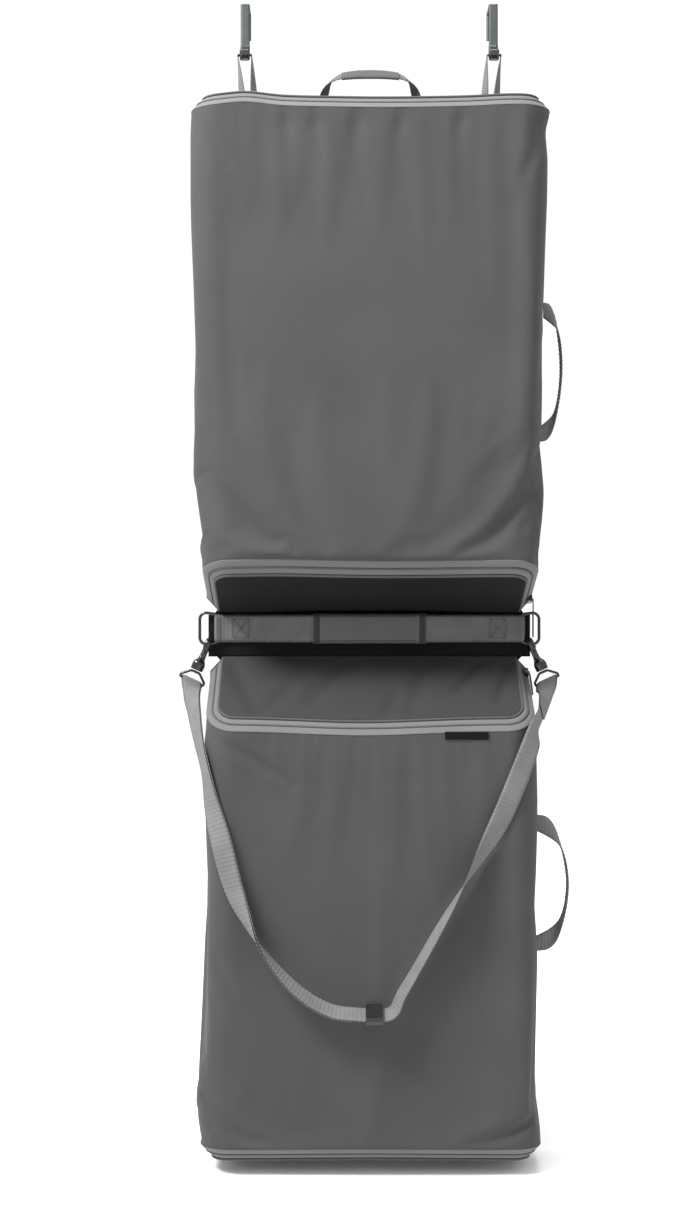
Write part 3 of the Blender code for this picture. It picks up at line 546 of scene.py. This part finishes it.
def back_cloth(case):
    """A case's back: cloth pulled over its board, with a piped seam round it."""
    top, bottom = ENDS[case + "_top"], ENDS[case + "_bottom"]
    z0, z1 = top["lid"][1] - 0.0015, bottom["lid"][1] + 0.0015
    z = np.concatenate([[z0], np.linspace(top["shell"][1], bottom["shell"][1], 60), [z1]])
    half = np.interp(-z, [-z0, -top["shell"][1], -bottom["shell"][1], -z1],
                     [top["half"] - BEVEL, top["half"], bottom["half"], bottom["half"] - BEVEL])
    a = np.linspace(-1, 1, 61)
    x = half[:, None] * a[None]
    tall = np.broadcast_to(z[:, None], x.shape)
    inset = np.minimum(half[:, None] - np.abs(x), np.minimum(z0 - tall, tall - z1))
    board = 1 / (1 + np.exp(-(inset - 0.014) / 0.0025))
    ripple = 0.0005 * np.sin(x * 31 + 3 * np.sin(tall * 17)) * np.sin(tall * 23 + 1.3)
    y = BACK_Y - 0.0024 + 0.0022 * board + ripple * np.clip(inset / 0.03, 0, 1)
    obj = grid(case + "_back_cloth", np.stack([x, y, tall], axis=-1), POLYESTER)
    solid(obj, 0.001, 0.0)
    place(obj, case + "_case", "case_fabric", case + "_back_panel")
    for side, word in ((-1, "left"), (1, "right")):
        seam = np.column_stack([side * half, np.full(len(z), BACK_Y - 0.0026), z])
        place(rod(f"{case}_back_piping_{word}", seam, 0.0019, DARK_TAPE, sides=8), case + "_case", "zip_tape")


for case in ("upper", "lower"):
    case_cloth(case)
    back_cloth(case)
for name, end in ENDS.items():
    zip_belt(name, end, name.split("_")[0] + "_case")
lid_panel("upper_top", ENDS["upper_top"], POLYESTER, 0.0003)
lid_panel("upper_bottom", ENDS["upper_bottom"], SHADED_POLYESTER, 0.003)
# The lower case's top lid takes the darker polyester: painted shade from the upper case above it.
lid_panel("lower_top", ENDS["lower_top"], LOWER_LID_SHADE_POLYESTER, 0.004, (
    ((0.150, -0.020), (0.118, -0.070), 0.009, 0.0046), ((0.188, -0.025), (0.170, -0.090), 0.008, 0.0048),
    ((-0.150, -0.116), (-0.110, -0.075), 0.010, 0.0032), ((0.020, -0.118), (0.034, -0.080), 0.010, 0.0034),
    ((-0.185, -0.030), (-0.155, -0.100), 0.011, 0.0036), ((-0.030, -0.020), (-0.075, -0.085), 0.013, 0.0034),
    ((0.075, -0.025), (0.055, -0.105), 0.012, 0.0030)))
lid_panel("lower_bottom", ENDS["lower_bottom"], POLYESTER, 0.0005)


# Webbing, handles and spine

HOOK_X, TROUGH_Y, TROUGH_Z, TROUGH_RADIUS, SWING_Z = 0.171, -0.0105, -0.0685, 0.0095, -0.072
CARRY_Z, CARRY_HALF, CARRY_THICK, CARRY_BOW = -0.859, 0.019, 0.0016, 0.013
RING_X, RING_Y, RING_WIRE, RING_REACH, RING_HALF = 0.209, -0.0145, 0.0018, 0.0235, 0.0215
SIDES = (("left", -1), ("right", 1))


def arc(centre, radius, start, end, steps):
    turns = np.radians(np.linspace(start, end, steps + 1))
    return [(centre[0] + radius * math.cos(t), centre[1] + radius * math.sin(t)) for t in turns]


def hanging_loop(word, side):
    half, spread, foot = 0.0055, 0.0095, 0.165
    drop = [(0.0, 0.0), (0.3, 0.020), (0.65, 0.050), (1.0, 0.078), (1.0, 0.108)]
    path, sides = [], []
    for leg in (-1, 1):
        route, turned = [], []
        for t, down in drop:
            x = between(HOOK_X * side + leg * spread, foot * side + leg * 0.0075, t)
            route.append((x, between(TROUGH_Y, BACK_Y + 0.0012, t), SWING_Z - 0.002 - down))
            angle = math.pi / 2 * t
            turned.append((leg * math.sin(angle) * half, math.cos(angle) * half, 0))
        path += route[::-1] if leg < 0 else route
        sides += turned[::-1] if leg < 0 else turned
        if leg < 0:
            path += [(HOOK_X * side + x, TROUGH_Y, SWING_Z) for x in (-0.008, 0.0, 0.008)]
            sides += [(0, half, 0)] * 3
    loop = webbing("hanging_loop_band_" + word, path, sides, 0.0013, WEBBING, rib=0.0035)
    place(loop, "upper_case", "webbing", "hanging_loop_" + word)


def top_handle():
    rise = [(0.063, 0.0042), (0.062, 0.012), (0.058, 0.026), (0.050, 0.035), (0.038, 0.040), (0.020, 0.042)]
    arch = [(-x, h) for x, h in rise] + [(0.0, 0.0425)] + [(x, h) for x, h in reversed(rise)]
    full_lean, base = math.radians(30), ENDS["upper_top"]["lid"][0] + 0.0012
    path, sides = [], []
    for x, h in arch:
        sag = 0.25 * max(0.0, 1.0 - (x / 0.045) ** 2)
        lean = min(1.0, h / 0.026) * full_lean * (1.0 + sag)
        path.append((x, -0.062 - math.sin(full_lean) * h, base + math.cos(full_lean) * h))
        reach = between(0.003, 0.013, min(1.0, h / 0.012))
        turn = math.radians(26) * max(0.0, min(1.0, (abs(x) - 0.040) / 0.018)) * math.copysign(1, x)
        across = (-math.sin(turn), math.cos(turn) * math.cos(lean), math.sin(lean))
        sides.append(tuple(v * reach for v in across))
    place(webbing("top_handle_band", path, sides, 0.002, GRIP_CLOTH), "top_handle", "webbing", "top_handle")
    wider = [tuple(v * 1.06 for v in side) for side in sides[4:-4]]
    grip = webbing("top_handle_wrap", path[4:-4], wider, 0.0046, TOP_GRIP_CLOTH, rib=0.004, relief=0.0002)
    place(grip, "top_handle", "webbing", "top_handle_grip")


def side_handle(case):
    half = 0.013
    walls, (top, bottom), reach = (HANDLES[case][key] for key in ("walls", "ends", "reach"))
    shape = [(0.0, 0.0, 0.0), (0.35, 0.03, 0.1), (0.62, 0.09, 0.4), (0.80, 0.19, 0.8), (0.94, 0.33, 1.0)]
    shape += [(1.0, 0.5, 1.0)] + [(r, 1 - t, turn) for r, t, turn in reversed(shape)]
    path, sides = [], []
    for out, t, turn in shape:
        path.append((between(*walls, t) + reach * out, HANDLE_Y, between(top, bottom, t)))
        size = half if turn > 0 else half * 0.8
        angle = turn * math.pi / 2
        sides.append((0, math.sin(angle) * size, math.cos(angle) * size))
    name = case + "_side_handle"
    place(webbing(name + "_band", path, sides, 0.002, WEBBING), name, "webbing", name)


def spine():
    lo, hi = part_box("spine_panel")
    proud = 0.007
    x, z = np.meshgrid(np.linspace(lo[0] - proud, hi[0] + proud, 90), np.linspace(hi[2], lo[2], 20))
    fold = np.sin(np.pi * (hi[2] - z) / (hi[2] - lo[2]))
    y = BACK_Y - 0.0016 - 0.0007 * fold * np.sin(x * 60 + 2 * np.sin(x * 23))
    # The spine's cloth is coloured near-black: painted shade of the recess between the cases.
    cloth = grid("spine_cloth", np.stack([x, y, z], axis=-1), SPINE_SHADE_CLOTH)
    place(solid(cloth, 0.002, 0.0), "spine", "spine_fabric", "spine_panel")
    rear = BACK_Y - 0.003 - 0.0003 - CARRY_THICK / 2
    front = rear - CARRY_THICK - 0.0004
    wrap = RING_WIRE + 0.0004 + CARRY_THICK / 2
    right = [(0.165, rear), (0.185, rear), (0.203, RING_Y + wrap)]
    right += arc((RING_X, RING_Y), wrap, 90, -90, 8)
    right += [(0.201, front - 0.0012), (0.190, front), (0.160, front), (0.140, front - 0.25 * CARRY_BOW)]
    right += [(0.115, front - 0.75 * CARRY_BOW), (0.090, front - CARRY_BOW), (0.045, front - CARRY_BOW)]
    flat = right + [(0.0, front - CARRY_BOW)] + [(-a, b) for a, b in reversed(right)]
    path = [(a, b, CARRY_Z) for a, b in flat]
    band = webbing("carry_webbing", path, [(0, 0, CARRY_HALF)] * len(path), CARRY_THICK, DARK_WEBBING)
    place(band, "spine", "webbing", "spine_webbing")
    at = [(a, front - CARRY_BOW, CARRY_Z) for a in (0.077, 0.026, -0.026, -0.077)]
    grip = webbing("carry_grip", at, [(0, 0, CARRY_HALF + 0.0012)] * 4, 0.0056, GRIP_CLOTH, relief=0.0001)
    place(grip, "spine", "webbing", "carry_handle_grip")
    for end in (-0.072, 0.072):
        across = [(end + a, front - CARRY_BOW, CARRY_Z) for a in (-0.004, -0.001, 0.001, 0.004)]
        edge = webbing("carry_grip_end_" + ("left" if end < 0 else "right"), across,
                       [(0, 0, CARRY_HALF + 0.0016)] * 4, 0.0064, THREAD, relief=0.0)
        place(edge, "spine", "webbing")
    lines = []
    face = front - CARRY_THICK / 2 - 0.0005
    for middle in (-0.176, 0.176):
        wide, tall = 0.011, 0.013
        corners = [(middle - wide, CARRY_Z + tall), (middle + wide, CARRY_Z + tall),
                   (middle + wide, CARRY_Z - tall), (middle - wide, CARRY_Z - tall)]
        for i, j in ((0, 1), (1, 2), (2, 3), (3, 0), (0, 2), (1, 3)):
            lines.append([(corners[k][0], face, corners[k][1]) for k in (i, j)])
    grip_face = front - CARRY_BOW - 0.0031
    for up in (-0.0165, 0.0165):
        lines.append([(-0.066, grip_face, CARRY_Z + up), (0.066, grip_face, CARRY_Z + up)])
    place(stitches("carry_stitching", lines, (0, -1, 0), THREAD), "spine", "webbing")


def fold_cloth(name, z, halves):
    """Cloth over one of the spine's fold lines, reaching onto the pieces above and below and bowed a little
    between them.
    """
    reach = 0.011
    a, down = np.meshgrid(np.linspace(-1, 1, 61), np.linspace(reach, -reach, 15))
    half = between(halves[0], halves[1], (reach - down) / (2 * reach))
    y = np.full_like(a, BACK_Y + 0.0012) + 0.0005 * np.cos(np.pi * down / reach)
    # Its near-black colour is painted shade of the recess between the cases.
    cloth = solid(grid(name, np.stack([a * half, y, z + down], axis=-1), SPINE_SHADE_CLOTH), 0.0009, 0.0)
    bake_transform(cloth)


# The strap's middle line from the left eye round to the right one, and its roll: 0 faces the front and
# -90 shows its edge.
STRAP_ROUTE = [
    (-0.2373, -0.062, -0.960, -42), (-0.2279, -0.095, -1.004, -58), (-0.2163, -0.120, -1.048, -62),
    (-0.2070, -0.131, -1.092, -40), (-0.1951, -0.142, -1.135, -12), (-0.1785, -0.144, -1.196, -25),
    (-0.1600, -0.150, -1.240, -60), (-0.1426, -0.154, -1.272, -90), (-0.1105, -0.155, -1.312, -110),
    (-0.0831, -0.155, -1.336, -116), (-0.0533, -0.155, -1.352, -118), (-0.0240, -0.155, -1.357, -118),
    (0.0240, -0.155, -1.357, -118), (0.0400, -0.155, -1.331, -114), (0.0600, -0.155, -1.297, -110),
    (0.0884, -0.155, -1.247, -106), (0.1143, -0.154, -1.2025, -90), (0.1465, -0.148, -1.148, -45),
    (0.1702, -0.144, -1.104, -15), (0.1894, -0.143, -1.059, -12), (0.2068, -0.139, -1.015, -22),
    (0.2165, -0.124, -0.990, -42), (0.2290, -0.074, -0.970, -55),
]
STRAP_HALF, STRAP_THICK, STRAP_LAYERS, EYE_DROP, EYE_BAR = 0.014, 0.0014, 0.0022, 0.055, 0.0018
HOOK_SLANT = math.radians(24)


def hook_frame(side):
    top = Vector((side * 0.2215, RING_Y, CARRY_Z - RING_HALF))
    return Matrix.Translation(top) @ Matrix.Rotation(-side * HOOK_SLANT, 4, "Y")


def shoulder_strap():
    frames = [hook_frame(-1), hook_frame(1)]
    eyes = [made @ Vector((0, 0, -EYE_DROP)) for made in frames]
    line = through([(*eyes[0], -20)] + STRAP_ROUTE + [(*eyes[1], -20)], 3)
    path = [Vector(p[:3]) for p in line]
    last = len(path) - 1
    sides, faces = [], []
    for i, point in enumerate(line):
        along = (path[min(i + 1, last)] - path[max(i - 1, 0)]).normalized()
        face_on = along.cross(Vector((0, 1, 0))).normalized()
        roll = math.radians(point[3])
        side = (face_on * math.cos(roll) + face_on.cross(along) * math.sin(roll)).normalized()
        for eye, made, way in zip(eyes, frames, (1, -1)):
            turn_in = 1.0 - (path[i] - eye).length / 0.040
            if turn_in > 0:
                bar = made.to_3x3() @ Vector((way, 0, 0))
                side = side.lerp(bar, min(1.0, 1.4 * turn_in)).normalized()
        sides.append(side)
        faces.append(side.cross(along).normalized())
    wrap = EYE_BAR + 0.0004 + STRAP_THICK / 2
    slide = min(range(len(path)), key=lambda i: abs(path[i].x + 0.020) if path[i].z < -1.35 else 1.0)

    def layer(i, way):
        from_eye = min((path[i] - eye).length for eye in eyes)
        return path[i] + faces[i] * way * between(wrap, STRAP_LAYERS / 2, min(1.0, from_eye / 0.030))

    def turn(i, toward, outward):
        bends = [math.pi * k / 6 for k in range(7)]
        return [path[i] + (outward * math.cos(a) + toward * math.sin(a)) * wrap for a in bends]

    band = [(layer(i, -1), sides[i]) for i in range(slide, 0, -1)]
    band += [(p, sides[0]) for p in turn(0, (path[0] - path[1]).normalized(), -faces[0])]
    band += [(layer(i, 1), sides[i]) for i in range(1, last)]
    band += [(p, sides[last]) for p in turn(last, (path[last] - path[last - 1]).normalized(), faces[last])]
    band += [(layer(i, -1), sides[i]) for i in range(last - 1, last - 4, -1)]
    strap = webbing("strap_band", [p for p, s in band], [s * STRAP_HALF for p, s in band], STRAP_THICK,
                    WEBBING, steps=4)
    place(strap, "strap", "webbing", "shoulder_strap")


def garment_strap(case, z):
    rear = BACK_Y - 0.003 - 0.006
    half, bow = 0.190, 0.032
    shares = (-1, -0.85, -0.6, -0.3, 0, 0.3, 0.6, 0.85, 1)
    path = [(half * a, rear - bow * (1 - a ** 4), z) for a in shares]
    band = webbing(case + "_garment_band", path, [(0, 0, 0.0125)] * len(path), 0.0014, WEBBING)
    place(band, case + "_case", "webbing", case + "_garment_strap")


def woven_label():
    lo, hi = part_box("woven_label")
    y, z = (lo[1] + hi[1]) / 2, (lo[2] + hi[2]) / 2
    path = [(a, y - 0.0006, z) for a in np.linspace(lo[0], hi[0], 8)]
    half = (hi[2] - lo[2]) / 2
    patch = webbing("label_patch", path, [(0, 0, half)] * 8, 0.0012, LABEL_CLOTH, rib=0.0012, relief=0.00002)
    place(patch, "lower_case", "label", "woven_label")


for word, side in SIDES:
    hanging_loop(word, side)
top_handle()
side_handle("upper")
side_handle("lower")
spine()
spine_lo, spine_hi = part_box("spine_panel")
fold_cloth("upper_fold_cloth", spine_hi[2], (0.205, 0.219))
fold_cloth("lower_fold_cloth", spine_lo[2], (0.219, 0.200))
shoulder_strap()
garment_strap("upper", -0.500)
garment_strap("lower", -1.250)
woven_label()


# Hardware


def door_hook(word, side):
    """A strip bent over the door, with its trough dipped in black."""
    x = HOOK_X * side
    profile = [(0.041, -0.036), (0.041, -0.012), (0.041, -0.001), (0.040, 0.001), (0.020, 0.001),
               (0.0, 0.001),
               (-0.001, -0.001), (-0.001, -0.020), (-0.001, -0.045)]
    bend = arc((TROUGH_Y, TROUGH_Z), TROUGH_RADIUS, 0, -180, 14)
    bend.append((TROUGH_Y - TROUGH_RADIUS, TROUGH_Z + 0.0015))
    wide = (0.0062, 0, 0)
    path = [(x, y, z) for y, z in profile + bend]
    strip = webbing(f"door_hook_strip_{word}", path, [wide] * len(path), 0.002, HOOK_STEEL,
                    relief=0.0, steps=3)
    place(strip, "door_hooks", "hook_metal", "door_hook_" + word)
    dip_path = [(x, y, z) for y, z in [(-0.001, -0.056)] + bend]
    dipped = webbing(f"door_hook_dip_{word}", dip_path, [(0.0066, 0, 0)] * len(dip_path), 0.0027, HOOK_DIP,
                     relief=0.0, steps=3)
    place(dipped, "door_hooks", "hook_metal")


def d_ring(word, side):
    reach, corner, half = RING_REACH, 0.009, RING_HALF
    flat = [(0.0, z) for z in np.linspace(-half + 0.002, half - 0.002, 12)]
    flat += arc((reach - corner, half - corner), corner, 90, 0, 10)
    flat += arc((reach - corner, corner - half), corner, 0, -90, 10)
    path = [(side * (RING_X + a), RING_Y, CARRY_Z + b) for a, b in flat]
    ring_bar = rod("d_ring_bar_" + word, path, RING_WIRE + 0.0003, BLACK_METAL, closed=True)
    place(ring_bar, "d_ring_" + word, "black_metal", "d_ring_" + word)


def snap_hook(word, side):
    """A cast hook whose shank widens into a flat body over its swivel."""
    made = hook_frame(side)
    arch = arc((0, 0), 0.007, 0, 180, 12)
    line = [(0.0, -0.0385), (0.0, -0.0330), (0.0, -0.0285), (0.0050, -0.0235), (0.007, -0.018)] + arch
    line.append((-0.007, -0.0065))
    thick = [0.0050, 0.0052, 0.0050, 0.0034] + [0.0026] * (len(line) - 4)
    rows = through([(0, y, z, r) for (y, z), r in zip(line, thick)], 4)
    path = [made @ Vector(p[:3]) for p in rows]
    hook = rod("snap_hook_body_" + word, path, rows[:, 3], BLACK_METAL, sides=16)
    cast = made @ Matrix.Diagonal((1.7, 1, 1, 1)) @ made.inverted()
    hook.data.transform(cast)
    place(hook, "snap_hook_" + word, "black_metal", "snap_hook_" + word)
    gate = [made @ Vector((0, -0.007, z)) for z in np.linspace(-0.0100, -0.0215, 8)]
    bar = rod("snap_gate_bar_" + word, gate, 0.0018, BLACK_METAL)
    place(bar, "snap_gate_" + word, "black_metal", "snap_gate_" + word)
    half, shoulder = STRAP_HALF + 0.003, -EYE_DROP + 0.004
    loop = [(-half, -EYE_DROP), (0.0, -EYE_DROP), (half, -EYE_DROP), (half, shoulder), (0.006, -0.0415),
            (-0.006, -0.0415), (-half, shoulder)]
    corners = [made @ Vector((x, 0, z)) for x, z in loop]
    dense = []
    for a, b in zip(corners, corners[1:] + corners[:1]):
        dense += [a.lerp(b, t) for t in (0.08, 0.3, 0.5, 0.7, 0.92)]
    eye = rod("swivel_eye_bar_" + word, dense, EYE_BAR, BLACK_METAL, closed=True)
    place(eye, "strap", "black_metal", "swivel_eye_" + word)


def refinish(finish, *nodes):
    for name in nodes:
        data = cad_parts[name].data
        data.materials.clear()
        data.materials.append(finish)


for word, side in SIDES:
    door_hook(word, side)
    d_ring(word, side)
    snap_hook(word, side)
refinish(BOARD, "upper_back_board", "lower_back_board")
refinish(BLACK_PLASTIC, "hanger_bracket", "upper_strap_buckle", "lower_strap_buckle", "tri_glide")
refinish(BLACK_METAL, "hanger_lock_bar")
for name in ENDS:
    refinish(BLACK_METAL, name + "_zip_slider", name + "_zip_puller")


# Studio


def studio():
    bpy.ops.mesh.primitive_plane_add(size=14, location=(0, 2.0, -1.575))
    floor = bpy.context.object
    floor.name = "floor"
    pale = bpy.data.materials.new("pale_floor")
    pale.use_nodes = True
    pale.node_tree.nodes["Principled BSDF"].inputs["Base Color"].default_value = (0.97, 0.97, 0.97, 1)
    pale.node_tree.nodes["Principled BSDF"].inputs["Roughness"].default_value = 1.0
    pale.node_tree.nodes["Principled BSDF"].inputs["Specular IOR Level"].default_value = 0.0
    floor.data.materials.append(pale)
    world = bpy.data.worlds.new("studio")
    world.use_nodes = True
    world.node_tree.nodes["Background"].inputs["Color"].default_value = (1, 1, 1, 1)
    world.node_tree.nodes["Background"].inputs["Strength"].default_value = 1.04
    scene.world = world
    for name, spot, aim, size, power in (
        ("key", (-1.7, -1.35, 1.45), (0, 0, -0.5), 0.9, 205),
        ("top", (0.2, -0.7, 1.6), (0, 0.2, -1.2), 1.0, 35),
    ):
        data = bpy.data.lights.new(name, "AREA")
        data.size, data.energy = size, power
        lamp = bpy.data.objects.new(name, data)
        lamp.location = spot
        lamp.rotation_euler = (Vector(aim) - Vector(spot)).to_track_quat("-Z", "Y").to_euler()
        scene.collection.objects.link(lamp)
    data = bpy.data.cameras.new("camera")
    data.lens, data.sensor_width = 53.2, 36.0
    camera = bpy.data.objects.new("camera", data)
    camera.location = (-0.041, -2.496, -0.837)
    camera.rotation_euler = (math.pi / 2, 0, 0)
    scene.collection.objects.link(camera)
    scene.camera = camera
    scene.view_settings.view_transform = "Standard"


studio()
